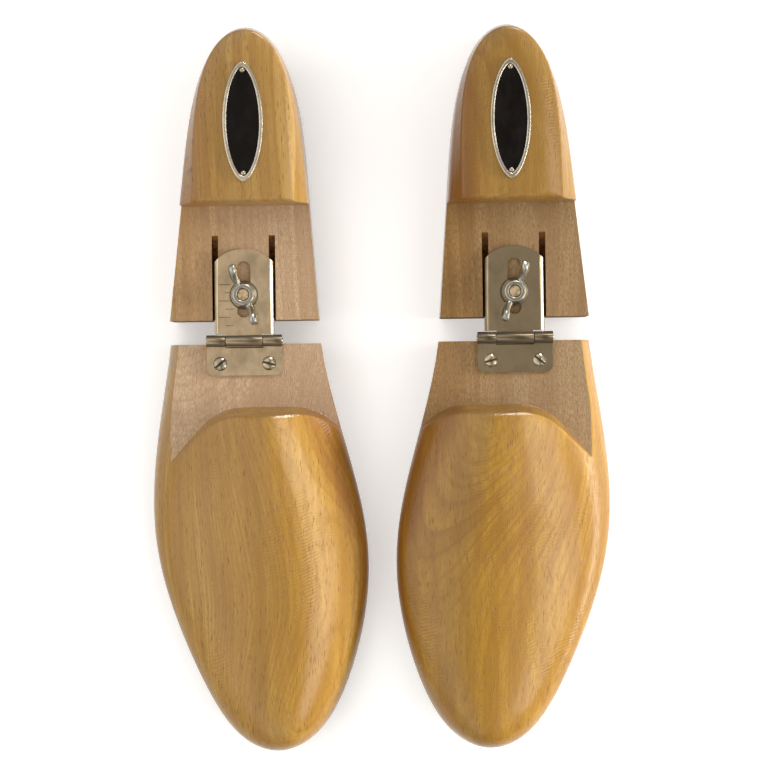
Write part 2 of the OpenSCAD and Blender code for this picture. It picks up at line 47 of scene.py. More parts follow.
# Forepart: its plan, its ridge and sole, the edges and the fullness of its sections
TOE_LEN, BALL_W, BALL_AT = 168.0, 87.0, 80.0
TAIL_W, TAIL_FLARE, TAIL_GAP = 62.0, math.radians(6.8), 1.2
TOE_SWING, TOE_TAPER, TOE_SPRING, SOLE_CUT = 11.2, 0.07, 7.0, 1.0
VAMP_H, TOE_H, NOSE_H, NOSE_ROUND, RIDGE_BEND = 43.0, 25.0, 13.0, 16.0, 2.0
OUTER_EDGE_H, INNER_EDGE_H, CREST_SHIFT = 9.0, 21.0, 0.22
FULL_OUTER = ((0.42, 0.5), (0.6, 0.6))
FULL_INNER = ((0.3, 0.36), (0.6, 0.6))
FULL_SOLE = ((0.7, 0.85), (0.7, 0.6))

# Wall and lip of the vamp: a band round four posts, the last two a few radii away
ARCH_AT, ARCH_W, ARCH_R, ARCH_SHIFT, ARCH_SPREAD = 27.0, 19.0, 25.0, 9.5, 3
ARCH_SLANT, ARCH_FLARE, WALL_LEAN = math.radians(48.5), math.radians(20), math.radians(10)
LIP_R, LIP_OVER = 4.0, 0.5

# Heel: its plan, its foot, belly, chamfer and crown, the rounding of its corners
HEEL_GAP, HEEL_BACK, HEEL_H, HEEL_SWING, HEEL_POWER = 8.5, 127.0, 43.0, 2.4, 4
HEEL_FRONT_W, HEEL_STEP_W, STEP_AT, STEP_ROUND = 60.5, 52.0, 55.0, 3.0
FOOT_R, BELLY_SHARE, BACK_LEAN, LEAN_SHARE = 3.0, 0.4, 3.0, 0.3
CHAMFER_W, CHAMFER_H, HEEL_CROWN, CROWN_W = 5.8, 10.0, 1.2, 10.0
BELLY_ROUND, SHOULDER_ROUND, CROWN_ROUND = 5.0, 2.5, 1.3

# Cuts for the metal, and places on it
GROOVE_W, GROOVE_LEN, GROOVE_DEPTH, GROOVE_X, SAW_R = 2.6, 34.5, 8.0, 11.6, 32.0
BOLT_AT, BOLT_R, RECESS_H, RECESS_R = 18.7, 2.55, 6.0, 6.5
SCREW_X, SCREW_AT, SCREW_R, SCREW_SINK = 9.9, 9.2, 2.85, 2.0
LEAF_TOP, KNUCKLE_END, KNUCKLE_SHADE = 23.25, 7.6, 2.05
HINGE_Y = (TOE_LEN - HEEL_BACK) / 2

# Wing nut: its turned body, the curve along a wing, the wing's size at the body and at its ear
NUT_Z, WING_TURN = 23.3, 20.0
NUT_PROFILE = ((2.5, 0), (5.8, 0), (5.8, 0.9), (5.4, 1.8), (4.5, 5.3), (4.3, 5.8), (3.9, 6), (2.8, 6),
               (2.5, 5.8))
WING_PATH = np.array([(2.9, 3.0), (6.4, 3.0), (9.0, 6.4), (12.6, 9.0)])
WING_THICK, WING_HIGH, WING_BEND = (1.4, 1.8), (1.9, 2.7), 0.9
EAR_FROM, EAR_THIN, WING_POWER = 0.72, 0.5, 0.8
CAST_GRAIN = 0.2

# Points on the fine skins
TAIL_RINGS, TOE_RINGS, ARC_STEPS, ARCH_POINTS, HEEL_STEPS = 70, 80, 44, 384, 90
ROUND_STEPS, LIP_STEPS, SAW_STEPS, WING_STEPS, NUT_STEPS = 9, 17, 14, 24, 64
SCREW_STEPS, BORE_STEPS, RECESS_STEPS = 24, 32, 48

# How far cutters reach past what they cut, and the angles from which edges of wood and metal are sharp
OVER, SMALL_OVER = 10.0, 1.0
SHARP, EDGE_ANGLE = math.radians(32), math.radians(40)

# Places of waxed, raw and dark saw-cut wood among the materials of a block
WAXED_SLOT, RAW_SLOT, DARK_CUT_SLOT = 0, 1, 2


# Shapes

def mix(a, b, t):
    return a + (b - a) * t


def hermite(a, b, slope_a, slope_b, t):
    return (a * (2 * t**3 - 3 * t**2 + 1) + slope_a * (t**3 - 2 * t**2 + t)
            + b * (3 * t**2 - 2 * t**3) + slope_b * (t**3 - t**2))


def bezier(p, t):
    """Place on the cubic curve of four points."""
    return p[0] * (1 - t)**3 + 3 * p[1] * t * (1 - t)**2 + 3 * p[2] * t**2 * (1 - t) + p[3] * t**3


def quarter(edge, peak, full, u):
    """Quarter of a section, from its widest point to its crest or its sole."""
    points = np.array([edge, (edge[0], mix(edge[1], peak[1], full[0])),
                       (mix(peak[0], edge[0], full[1]), peak[1]), peak])
    return bezier(points, u[:, None])


def fullness(full, share):
    """Fullness of a quarter, on the way from its value at the back to that at the toe."""
    return [mix(a, b, share) for a, b in zip(*full)]


def forepart_ring(d):
    """Section of the forepart at a distance ahead of the hinge."""
    t = max(0.0, (d - BALL_AT) / (TOE_LEN - BALL_AT))
    if d < BALL_AT:
        half = hermite(TAIL_W / 2, BALL_W / 2, math.tan(TAIL_FLARE) * BALL_AT, 0, d / BALL_AT)
    else:
        half = BALL_W / 2 * math.sqrt(1 - t**2) * (1 - 4 * TOE_TAPER * t**2 * (1 - t**2))
    centre = TOE_SWING * (1 - math.cos(math.pi * d / TOE_LEN)) / 2
    closing = math.sqrt(1 - t**NOSE_ROUND)
    back = 1 - max(0.0, (d - ARCH_AT) / (TOE_LEN - ARCH_AT))
    top = mix(NOSE_H, mix(TOE_H, VAMP_H, back**RIDGE_BEND), closing)
    sole = (centre, mix(NOSE_H, TOE_SPRING * t**2 - SOLE_CUT, closing))
    outer = (centre - half, mix(NOSE_H, OUTER_EDGE_H, closing))
    inner_h = hermite(INNER_EDGE_H, OUTER_EDGE_H, 0, 0, d / TOE_LEN)
    inner = (centre + half, mix(NOSE_H, inner_h, closing))
    peak = (centre + CREST_SHIFT * half, top)
    u = np.arange(ARC_STEPS) / ARC_STEPS
    flat = np.vstack([quarter(outer, peak, fullness(FULL_OUTER, t), u),
                      quarter(inner, peak, fullness(FULL_INNER, d / TOE_LEN), 1 - u),
                      quarter(inner, sole, fullness(FULL_SOLE, t), u),
                      quarter(outer, sole, fullness(FULL_SOLE, t), 1 - u)])
    return np.column_stack([flat[:, 0], np.full(len(flat), -d), flat[:, 1]])


def arch_ring(inset, z):
    """Outline of the vamp at a height: a band round four posts, set in from its full size."""
    inner = np.array([ARCH_SHIFT + ARCH_W / 2, -ARCH_AT - ARCH_R])
    outer = inner - (ARCH_W, 0)
    reach = ARCH_SPREAD * ARCH_R
    posts = np.array([inner, outer, outer - reach * np.array([math.cos(ARCH_SLANT), math.sin(ARCH_SLANT)]),
                      inner + reach * np.array([math.sin(ARCH_FLARE), -math.cos(ARCH_FLARE)])])
    a = -2 * np.pi * np.arange(ARCH_POINTS) / ARCH_POINTS
    ways = np.column_stack([np.cos(a), np.sin(a)])
    p = posts[(ways @ posts.T).argmax(axis=1)] + (ARCH_R - inset) * ways
    return np.column_stack([p, np.full(len(p), z)])


def heel_ring(z, inset, tuck, chamfer):
    """Outline of the heel block at a height, from its front end round the back."""
    back = HEEL_BACK - tuck
    u = np.arange(-HEEL_STEPS, HEEL_STEPS + 1) / HEEL_STEPS
    y = mix(HEEL_GAP, back, np.cos(np.pi / 2 * u))
    side = mix(HEEL_FRONT_W, HEEL_STEP_W, (y - HEEL_GAP) / (STEP_AT - HEEL_GAP)) / 2
    s = np.clip((y - STEP_AT) / (back - STEP_AT), 0, 1)
    half = (side - inset - chamfer * (1 - s)) * np.sqrt(1 - s**HEEL_POWER)
    centre = HEEL_SWING * (y - HEEL_GAP) / (HEEL_BACK - HEEL_GAP)
    return np.column_stack([centre + np.sign(u) * half, y, np.full(len(y), z)])


def rounded(points, reach):
    """Run of profile points with the corners named in reach rounded off."""
    out = []
    for i, p in enumerate(points):
        p = np.array(p, float)
        if i not in reach:
            out.append(p)
            continue
        a, b = (np.array(points[j], float) for j in (i - 1, i + 1))
        a = p + (a - p) * min(1, reach[i] / np.linalg.norm(a - p))
        b = p + (b - p) * min(1, reach[i] / np.linalg.norm(b - p))
        for t in np.linspace(0, 1, ROUND_STEPS):
            out.append(a * (1 - t)**2 + 2 * p * t * (1 - t) + b * t**2)
    return out


def circle(x, y, r, count):
    turns = [2 * math.pi * i / count for i in range(count)]
    return [(x + r * math.cos(a), y + r * math.sin(a)) for a in turns]


def box(x0, x1, y0, y1):
    return [(x0, y0), (x1, y0), (x1, y1), (x0, y1)]


# Meshes

def new_object(name, data):
    obj = bpy.data.objects.new(name, data)
    bpy.context.scene.collection.objects.link(obj)
    return obj


def new_mesh(name, bm, materials):
    """Mesh of what was drawn, which is then let go."""
    mesh = bpy.data.meshes.new(name)
    bm.to_mesh(mesh)
    bm.free()
    for m in materials:
        mesh.materials.append(m)
    return mesh


def baked(obj):
    """Mesh of an object as its modifiers leave it; they are then taken off."""
    bpy.context.view_layer.update()
    mesh = bpy.data.meshes.new_from_object(obj.evaluated_get(bpy.context.evaluated_depsgraph_get()))
    obj.modifiers.clear()
    return mesh


def skin(name, rings, tip, materials, sawn=lambda poly: False):
    """Closed skin over a stack of rings; sawn picks the faces of the raw material."""
    count, last = len(rings[0]), len(rings) - 1
    points = np.vstack(rings + ([tip] if tip is not None else []))
    faces = []
    for i in range(last):
        low, high = i * count, (i + 1) * count
        faces += [(low + j, low + (j + 1) % count, high + (j + 1) % count, high + j) for j in range(count)]
    faces.append(tuple(range(count - 1, -1, -1)))
    end = last * count
    if tip is None:
        faces.append(tuple(end + j for j in range(count)))
    else:
        faces += [(end + j, end + (j + 1) % count, end + count) for j in range(count)]
    mesh = bpy.data.meshes.new(name)
    mesh.from_pydata((points * MM).tolist(), [], faces)
    for m in materials:
        mesh.materials.append(m)
    for poly in mesh.polygons:
        if sawn(poly):
            poly.material_index = RAW_SLOT
    bm = bmesh.new()
    bm.from_mesh(mesh)
    bmesh.ops.remove_doubles(bm, verts=bm.verts, dist=1e-7)
    bmesh.ops.recalc_face_normals(bm, faces=bm.faces)
    bm.to_mesh(mesh)
    bm.free()
    return new_object(name, mesh)


def prism(name, outline, low, high, materials, place=Matrix.Identity(4),
          slot=lambda normal: WAXED_SLOT):
    """Extruded outline; place moves it from its own plane into the tree."""
    bm = bmesh.new()
    rows = [[bm.verts.new((x * MM, y * MM, z * MM)) for x, y in outline] for z in (low, high)]
    bm.faces.new(rows[0][::-1])
    bm.faces.new(rows[1])
    n = len(outline)
    for i in range(n):
        bm.faces.new((rows[0][i], rows[0][(i + 1) % n], rows[1][(i + 1) % n], rows[1][i]))
    bm.transform(place)
    bmesh.ops.recalc_face_normals(bm, faces=bm.faces)
    bm.normal_update()
    for f in bm.faces:
        f.material_index = slot(f.normal)
    return new_object(name, new_mesh(name, bm, materials))


def turned(name, profile, material):
    """Ring that is turned about the upright axis from a closed profile."""
    bm = bmesh.new()
    rings = [[bm.verts.new((x * MM, y * MM, z * MM)) for x, y in circle(0, 0, r, NUT_STEPS)]
             for r, z in profile]
    for a, b in zip(rings, rings[1:] + rings[:1]):
        for i in range(NUT_STEPS):
            j = (i + 1) % NUT_STEPS
            bm.faces.new((a[i], a[j], b[j], b[i]))
    bmesh.ops.recalc_face_normals(bm, faces=bm.faces)
    return new_object(name, new_mesh(name, bm, [material]))


def carve(obj, cutters):
    """Takes the cutters out of obj; the cut faces get the cutters' materials."""
    for c in cutters:
        m = obj.modifiers.new("cut", "BOOLEAN")
        m.operation, m.solver, m.object, m.material_mode = "DIFFERENCE", "EXACT", c, "TRANSFER"
    old, obj.data = obj.data, baked(obj)
    for mesh in [old] + [c.data for c in cutters]:
        bpy.data.meshes.remove(mesh)


# Materials

def srgb(r, g, b):
    return tuple(((c / 255 + 0.055) / 1.055)**2.4 if c > 10 else c / 3294 for c in (r, g, b)) + (1.0,)


class Net:
    """Short way to write a material's nodes, in which numbers and sockets mix freely."""

    def __init__(self, name):
        self.material = bpy.data.materials.new(name)
        self.material.use_nodes = True
        self.tree = self.material.node_tree
        self.shader = self.tree.nodes["Principled BSDF"]

    def put(self, socket, value):
        if isinstance(value, bpy.types.NodeSocket):
            self.tree.links.new(value, socket)
        else:
            socket.default_value = value

    def node(self, kind, inputs=(), **settings):
        n = self.tree.nodes.new("ShaderNode" + kind)
        for key, value in settings.items():
            setattr(n, key, value)
        for key, value in dict(inputs).items():
            self.put(n.inputs[key], value)
        return n

    def set(self, **inputs):
        for key, value in inputs.items():
            self.put(self.shader.inputs[key.replace("_", " ")], value)

    def math(self, operation, *values):
        return self.node("Math", enumerate(values), operation=operation).outputs[0]

    def plus(self, a, b):
        return self.math("ADD", a, b)

    def minus(self, a, b):
        return self.math("SUBTRACT", a, b)

    def times(self, a, b):
        return self.math("MULTIPLY", a, b)

    def over(self, a, b):
        return self.math("DIVIDE", a, b)

    def absolute(self, a):
        return self.math("ABSOLUTE", a)

    def vec(self, operation, *values):
        n = self.node("VectorMath", enumerate(values), operation=operation)
        return n.outputs["Value" if operation == "LENGTH" else "Vector"]

    def scaled(self, vector, *sizes):
        """Vector counted in cells of the sizes given."""
        return self.vec("DIVIDE", vector, sizes)

    def ease(self, value, low, high, start=0.0, end=1.0):
        n = self.node("MapRange", {"Value": value, "From Min": low, "From Max": high, "To Min": start,
                                   "To Max": end}, interpolation_type="SMOOTHSTEP")
        return n.outputs[0]

    def blend(self, share, a, b, way="MIX"):
        n = self.node("Mix", {0: share, 6: a, 7: b}, data_type="RGBA", blend_type=way)
        return n.outputs[2]

    def glaze(self, share, colour, tone):
        """Colour with a share of a see-through tone over it."""
        return self.blend(share, colour, self.blend(1.0, colour, srgb(*tone), "MULTIPLY"))

    def noise(self, vector, detail=2.0, roughness=0.5, output="Fac"):
        return self.node("TexNoise", {"Vector": vector, "Scale": 1.0, "Detail": detail,
                                      "Roughness": roughness}).outputs[output]

    def cells(self, vector, output="Distance"):
        return self.node("TexVoronoi", {"Vector": vector, "Scale": 1.0}).outputs[output]

    def xyz(self, vector):
        return self.node("SeparateXYZ", {0: vector}).outputs

    def join(self, x, y, z):
        return self.node("CombineXYZ", {0: x, 1: y, 2: z}).outputs[0]

    def place(self):
        """Place on the part, in millimetres."""
        coord = self.node("TexCoord").outputs["Object"]
        return self.vec("MULTIPLY", coord, (1 / MM,) * 3)

    def in_tree(self, x):
        """Distance to the right of the middle of the nearer tree."""
        return self.minus(x, self.times(self.math("SIGN", x), PAIR_SPACING / 2))

    def bump(self, height, depth, soft=0.0):
        """Relief of a depth, over edges that look worn to a radius, both in millimetres."""
        n = self.node("Bump", {"Height": height, "Distance": depth * MM})
        if soft:
            self.put(n.inputs["Normal"], self.node("Bevel", {"Radius": soft * MM}, samples=6).outputs[0])
        for socket in ("Normal", "Coat Normal"):
            self.put(self.shader.inputs[socket], n.outputs[0])


# tones of the wood: two of the ground, the late edge of a ring, a fleck
WAXED = {"right_forepart": ((191, 149, 65), (175, 131, 48), (149, 103, 31), (117, 73, 21)),
         "left_forepart": ((179, 137, 49), (162, 119, 36), (139, 94, 23), (109, 66, 15)),
         "right_heel": ((186, 150, 86), (171, 133, 69), (147, 107, 50), (114, 73, 26)),
         "left_heel": ((173, 137, 68), (158, 120, 52), (136, 97, 36), (106, 67, 23))}
# the left tree's sawn wood has darker tones than the right's: painted shade for the less light that falls on
# it
RAW = {"right": ((214, 186, 154), (196, 167, 134), (171, 138, 105), (126, 96, 69)),
       "left": ((180, 153, 116), (164, 134, 96), (138, 107, 72), (100, 73, 46))}
# see-through tones of painted shade: on the left sides of the decks, on the flanks between the trees, on the
# left sides of the heels
DECK_SHADE, FLANK_SHADE, HEEL_SHADE = (236, 221, 180), (214, 186, 112), (228, 192, 112)
# the log that each block was cut from: a point on its pith, its tilt, the depth and length of its swelling
# there, the width of its rings and how much they show at that point and far from it; then how much
# painted shade darkens the block's left side, and how soft its waxed edges look
LOGS = {
    "right_forepart": {"pith": (-80, -70, -109), "turn": (0.13, 0, 0), "swell": (1.5, 25), "ring": 0.6,
                       "show": (0.8, 0.65), "left_shade": 0.0, "soft": 2.5},
    "left_forepart": {"pith": (62, -52, -80), "turn": (0.02, 0, 0), "swell": (0, 20), "ring": 0.75,
                      "show": (1.2, 0.2), "left_shade": 1.0, "soft": 2.5},
    "right_heel": {"pith": (-120, 0, -40), "turn": (-0.02, 0, 0.03), "swell": (0, 50), "ring": 2.4,
                   "show": (1.0, 1.0), "left_shade": 0.75, "soft": 1.2},
    "left_heel": {"pith": (66, 0, -66), "turn": (0.03, 0, -0.02), "swell": (0, 50), "ring": 2.0,
                  "show": (1.0, 1.0), "left_shade": 0.95, "soft": 1.2},
}
# width, length and depth of the flecks, then where they begin and end to fade, for large ones and small ones
FLECKS = ((0.3, 5.0, 20, 0.12, 0.42), (0.24, 2.4, 8, 0.16, 0.46))
# radius of the log at which widths across the grain are counted, and the ripple's radians in a millimetre
GRAIN_R, RIPPLE = 85.0, 4.5


def in_log(net, place, pith, turn, swell):
    """Place across, along and out from the pith of a log, and the share of its swelling there."""
    log = net.node("Mapping", {"Vector": place, "Location": pith, "Rotation": turn}, vector_type="TEXTURE")
    log = log.outputs[0]
    wander = net.noise(net.scaled(log, 45, 220, 45), 1.0, 0.4, "Color")
    sway = net.vec("MULTIPLY", net.vec("SUBTRACT", wander, (0.5,) * 3), (2, 0, 2))
    x, along, z = net.xyz(net.vec("ADD", log, sway))
    depth, length = swell
    off = net.over(along, length)
    bulge = net.over(1.0, net.plus(1.0, net.times(off, off)))
    z = net.minus(z, net.times(bulge, depth))
    across = net.times(net.math("ARCTAN2", x, z), GRAIN_R)
    return across, along, net.vec("LENGTH", net.join(x, 0.0, z)), bulge


def ring_marks(net, radius, width):
    """Own tone of each growth ring and its darker late edge; the rings are uneven."""
    uneven = net.noise(net.join(net.over(radius, 5 * width), 0.0, 0.0), 2.0)
    turns = net.plus(net.over(radius, width), net.times(uneven, 3.0))
    own = net.ease(net.noise(net.join(net.over(turns, 1.7), 7.0, 0.0), 2.0, 0.6), 0.36, 0.64)
    part = net.math("FRACT", turns)
    edge = net.times(net.ease(part, 0.45, 0.9), net.ease(part, 0.9, 1.0, 1.0, 0.0))
    return own, edge


def sawn_face(net, place, colour, late, pits, left_shade):
    """Raw wood, fuzzy from the saw, with painted shade on the left side of the deck."""
    fuzz = net.noise(net.scaled(place, 0.5, 1.8, 0.5), 3.0, 0.7)
    marks = net.noise(net.scaled(place, 12, 0.55, 12), 2.0)
    colour = net.blend(net.ease(fuzz, 0.4, 0.62, 0.0, 0.8), colour, late)
    side = net.in_tree(net.xyz(place)[0])
    # painted shade: a see-through tone over the left side of the deck
    colour = net.glaze(net.ease(side, -30.0, 5.0, left_shade, 0.0), colour, DECK_SHADE)
    net.set(Base_Color=colour, Roughness=net.ease(fuzz, 0.2, 0.8, 0.72, 0.95), Specular_IOR_Level=0.25)
    height = net.plus(net.times(fuzz, 0.9), net.times(marks, 0.6))
    net.bump(net.minus(height, net.times(pits, 0.6)), depth=0.3)


def waxed_face(net, place, colour, late, pits, left_shade, soft):
    """Waxed wood, with painted shade on the flanks between the trees and on the left sides of the heels."""
    fuzz = net.noise(net.scaled(place, 0.4, 2.0, 0.4), 3.0, 0.7)
    smear = net.noise(net.scaled(place, 14, 30, 14), 3.0, 0.6)
    colour = net.blend(net.ease(fuzz, 0.45, 0.68, 0.0, 0.4), colour, late)
    side, along, _ = net.xyz(place)
    reach = net.math("MAXIMUM", net.math("MULTIPLY_ADD", along, 0.38, 36.0), 12.0)
    # painted shade: a see-through amber on the flanks that face the other tree
    flank_shade = net.times(net.ease(net.minus(net.absolute(side), reach), -5.0, 3.0, 0.8, 0.0),
                      net.ease(along, -6.0, 8.0, 1.0, 0.0))
    colour = net.glaze(flank_shade, colour, FLANK_SHADE)
    # painted shade: a see-through amber on the left sides of the heels
    left = net.times(net.ease(net.in_tree(side), -26.0, -5.0, left_shade, 0.0), net.ease(along, 40.0, 60.0))
    colour = net.glaze(left, colour, HEEL_SHADE)
    net.set(Base_Color=colour, Roughness=net.ease(smear, 0.25, 0.75, 0.42, 0.56), Specular_IOR_Level=0.12,
            Coat_Weight=0.7, Coat_Roughness=0.16)
    # faint ripple left by the cutter, in patches
    run = net.plus(net.math("MULTIPLY_ADD", side, -0.35, along), net.times(smear, 8.0))
    ripple = net.math("SINE", net.times(run, RIPPLE))
    patch = net.ease(net.noise(net.scaled(place, 24, 34, 24), 1.0), 0.44, 0.6, 0.0, 0.45)
    height = net.minus(net.times(fuzz, 0.3), pits)
    net.bump(net.plus(height, net.times(ripple, patch)), depth=0.04, soft=soft)


def beech(name, tones, raw, pith, turn, swell, ring, show, left_shade, soft):
    """Solid beech: rings round a pith that runs along the tree, rays that show as short dark flecks."""
    net = Net(name)
    light, mid, late, fleck = (srgb(*t) for t in tones)
    place = net.place()
    across, along, radius, bulge = in_log(net, place, pith, turn, swell)

    def grain(wide, long, deep):
        return net.join(net.over(across, wide), net.over(along, long), net.over(radius, deep))

    flecks = []
    for wide, long, deep, near, far in FLECKS:
        at = grain(wide, long, deep)
        own_depth = net.ease(net.xyz(net.cells(at, "Color"))[0], 0.3, 1.0)
        flecks.append(net.times(net.ease(net.cells(at), near, far, 1.0, 0.0), own_depth))
    large, small = flecks
    streak = net.noise(grain(1.3, 60, 1.3), 3.0, 0.6)
    band = net.noise(grain(5, 140, 5), 1.0, 0.4)
    cloud = net.noise(net.scaled(place, 38, 60, 38), 2.0)
    colour = net.blend(net.ease(streak, 0.32, 0.68), light, mid)
    colour = net.blend(net.times(net.ease(cloud, 0.35, 0.7), 0.3), colour, mid)
    colour = net.blend(net.times(net.ease(band, 0.42, 0.6), 0.45), colour, late)
    bold = net.plus(net.times(bulge, show[0] - show[1]), show[1])
    for mark in ring_marks(net, radius, ring):
        colour = net.blend(net.times(mark, net.times(bold, 0.5)), colour, late)
    colour = net.blend(net.times(small, 0.6 if raw else 0.7), colour, late)
    colour = net.blend(net.times(large, 0.5 if raw else 0.95), colour, fleck)
    pits = net.plus(large, net.times(small, 0.5))
    if raw:
        sawn_face(net, place, colour, late, pits, left_shade)
    else:
        waxed_face(net, place, colour, late, pits, left_shade, soft)
    return net.material


def dark_cut_wood(name):
    """Wood in the saw cuts, dark brown in blotches."""
    net = Net(name)
    place = net.place()
    dark_blotch = net.noise(net.scaled(place, 3, 6, 1.5), 3.0, 0.6)
    teeth = net.noise(net.scaled(place, 6, 0.35, 6), 2.0)
    colour = net.blend(net.ease(dark_blotch, 0.35, 0.7), srgb(128, 84, 46), srgb(74, 44, 20))
    net.set(Base_Color=colour, Roughness=0.9, Specular_IOR_Level=0.2)
    net.bump(net.plus(teeth, dark_blotch), depth=0.1)
    return net.material


def nickel(name, tone, rough, lines, worn, dirt_and_shade=None, soft=0.0):
    """Nickel plate: drawn lines, smudges and fine scratches; the function given after worn gives the share of
    dirt and painted shade.
    """
    net = Net(name)
    place = net.place()
    drawn = net.noise(net.scaled(place, *lines), 4.0, 0.65)
    smudge = net.noise(net.scaled(place, 7, 9, 7), 3.0, 0.55)
    scratch = net.ease(net.cells(net.scaled(place, 2.2, 0.09, 2.2)), 0.02, 0.05, 1.0, 0.0)
    dull = srgb(*(c * 0.84 for c in tone))
    colour = net.blend(net.ease(smudge, 0.35, 0.75), srgb(*tone), dull)
    colour = net.blend(net.times(net.ease(drawn, 0.35, 0.7), 0.35), colour, dull)
    roughness = net.plus(net.ease(smudge, 0.3, 0.75, rough, rough + 0.06), net.times(drawn, worn))
    metal = 1.0
    if dirt_and_shade:
        share = dirt_and_shade(net, *net.xyz(place))
        # dark brown for dirt and for painted shade, by the share given
        colour = net.blend(share, colour, srgb(52, 40, 28))
        metal = net.ease(share, 0.6, 0.9, 1.0, 0.2)
        roughness = net.plus(roughness, net.ease(share, 0.6, 0.9, 0.0, 0.5))
    net.set(Base_Color=colour, Metallic=metal, Roughness=roughness)
    height = net.minus(net.times(drawn, worn * 3), net.times(scratch, worn * 2))
    net.bump(height, depth=0.006, soft=soft)
    return net.material


def on_leaf(net, x, y, z):
    """Share of dirt in the lines of the right leaf's scale and the knuckles' joints, and of painted shade
    over the knuckles.
    """
    middle = -PAIR_SPACING / 2
    beside = net.times(net.ease(x, middle - 10.9, middle - 10.5),
                       net.ease(x, middle - 3.2, middle - 2.9, 1.0, 0.0))
    lines = net.times(beside, net.ease(z, LEAF_TOP - 0.14, LEAF_TOP - 0.07, 0.5, 0.0))
    off = net.absolute(net.minus(y, HINGE_Y))
    out = net.absolute(net.in_tree(x))
    joint = net.ease(net.absolute(net.minus(out, KNUCKLE_END)), 0.12, 0.45, 0.95, 0.0)
    # the joints between the knuckles are dark; the darkening over the barrel, deepest along its sides, is
    # painted shade
    barrel = net.times(net.math("MAXIMUM", joint, net.ease(off, 0.3, KNUCKLE_SHADE, 0.5, 0.95)),
                       net.ease(off, KNUCKLE_SHADE + 0.1, KNUCKLE_SHADE + 0.3, 1.0, 0.0))
    return net.math("MAXIMUM", lines, barrel)


def slot_shade(net, x, y, z):
    """Share of painted shade in the screws' slots and round their heads."""
    return net.ease(z, LEAF_TOP + 0.04, LEAF_TOP + 0.3, 0.85, 0.0)


def on_tip(net, x, y, z):
    """Share of dirt on the rough end of a bolt."""
    return net.ease(net.noise(net.scaled(net.join(x, y, z), 1.6, 1.6, 1.6), 2.0), 0.45, 0.62, 0.0, 0.45)


def foot_shade(net, x, y, z):
    """Share of painted shade round the foot of a nut, darker towards the bottom."""
    return net.ease(z, NUT_Z + 1.0, NUT_Z + 4.2, 0.95, 0.0)


def enamel(name):
    """Black enamel under a haze, with specks of dust."""
    net = Net(name)
    place = net.place()
    haze = net.noise(net.scaled(place, 5, 9, 5), 3.0, 0.6)
    dust = net.ease(net.cells(net.scaled(place, 1.3, 1.3, 1.3)), 0.05, 0.10, 1.0, 0.0)
    colour = net.blend(net.ease(haze, 0.3, 0.75), srgb(10, 7, 6), srgb(20, 14, 11))
    colour = net.blend(net.times(dust, 0.2), colour, srgb(90, 78, 66))
    net.set(Base_Color=colour, Roughness=net.ease(haze, 0.3, 0.8, 0.2, 0.36), Specular_IOR_Level=0.15)
    net.bump(haze, depth=0.03)
    return net.material


DARK_CUT = dark_cut_wood("saw_cut")
WOODS = {}
for piece, log in LOGS.items():
    WOODS[piece] = [beech(piece + "_waxed", WAXED[piece], False, **log),
                    beech(piece + "_raw", RAW[piece.split("_")[0]], True, **log), DARK_CUT]

# sizes of the marks in the plate: lines along the leaves, even ones, and finer ones
DRAWN, EVEN, FINE = (0.12, 5, 5), (1.2, 1.2, 1.2), (0.8, 0.8, 0.8)
# the left tree's leaves are a darker copy of the right tree's plate: painted shade
LEAVES = {"right": nickel("satin_nickel", (208, 188, 156), 0.17, DRAWN, 0.06, on_leaf),
          "left": nickel("shaded_nickel", (170, 153, 124), 0.17, DRAWN, 0.06, on_leaf)}
BRIGHT = nickel("bright_nickel", (214, 206, 190), 0.14, EVEN, 0.05)
RIM = nickel("rim_nickel", (214, 206, 190), 0.14, EVEN, 0.05, soft=0.8)
BOLT = nickel("bolt_nickel", (226, 202, 162), 0.3, EVEN, 0.05, on_tip)
CAST = nickel("cast_nickel", (168, 165, 154), 0.2, FINE, 0.08, foot_shade)
SCREW = nickel("screw_nickel", (166, 152, 128), 0.16, EVEN, 0.05, slot_shade)
ENAMEL = enamel("black_enamel")


# Wooden blocks: made once for the right foot about its hinge, then mirrored

def sawn_below(normal):
    """Material of a cutter that leaves a raw deck under it and waxed walls round it."""
    return RAW_SLOT if normal.z < -0.5 else WAXED_SLOT


def forepart(wood):
    ahead = [mix(TAIL_GAP, BALL_AT, i / TAIL_RINGS) for i in range(TAIL_RINGS + 1)]
    ahead += [mix(BALL_AT, TOE_LEN, math.sin(math.pi / 2 * i / TOE_RINGS)) for i in range(1, TOE_RINGS)]
    tip = np.array([[TOE_SWING, -TOE_LEN, NOSE_H]])
    block = skin("right_forepart_wood", [forepart_ring(d) for d in ahead], tip, wood,
                 lambda poly: len(poly.vertices) > 4)
    lip_z = VAMP_H + LIP_OVER - LIP_R
    wall_h = lip_z + LIP_R * math.sin(WALL_LEAN) - DECK_H
    lip_inset = wall_h * math.tan(WALL_LEAN) + LIP_R * math.cos(WALL_LEAN)
    lip = [arch_ring(lip_inset - LIP_R * math.cos(a), lip_z + LIP_R * math.sin(a))
           for a in np.linspace(WALL_LEAN, math.pi / 2, LIP_STEPS)]
    wall = arch_ring(-OVER * math.tan(WALL_LEAN), DECK_H - OVER)
    hump = skin("hump", [wall] + lip, None, wood)
    deck = prism("deck", box(-BALL_W, BALL_W, -ARCH_AT - 2 * ARCH_R, 2 * OVER), DECK_H, 2 * VAMP_H, wood,
                 slot=sawn_below)
    carve(deck, [hump])
    sole = prism("sole", box(-BALL_W, BALL_W, -TOE_LEN - OVER, 2 * OVER), -OVER, 0, wood)
    screws = [prism("screw", circle(side * SCREW_X, -SCREW_AT, SCREW_R, SCREW_STEPS),
                    DECK_H - SCREW_SINK, DECK_H + OVER / 2, wood) for side in (-1, 1)]
    carve(block, [deck, sole] + screws)
    return block


def at_front(poly):
    """Whether a face lies in the flat front end of the heel block."""
    ys = [poly.id_data.vertices[i].co.y for i in poly.vertices]
    return len(ys) == 4 and all(abs(y - HEEL_GAP * MM) < 1e-9 for y in ys)


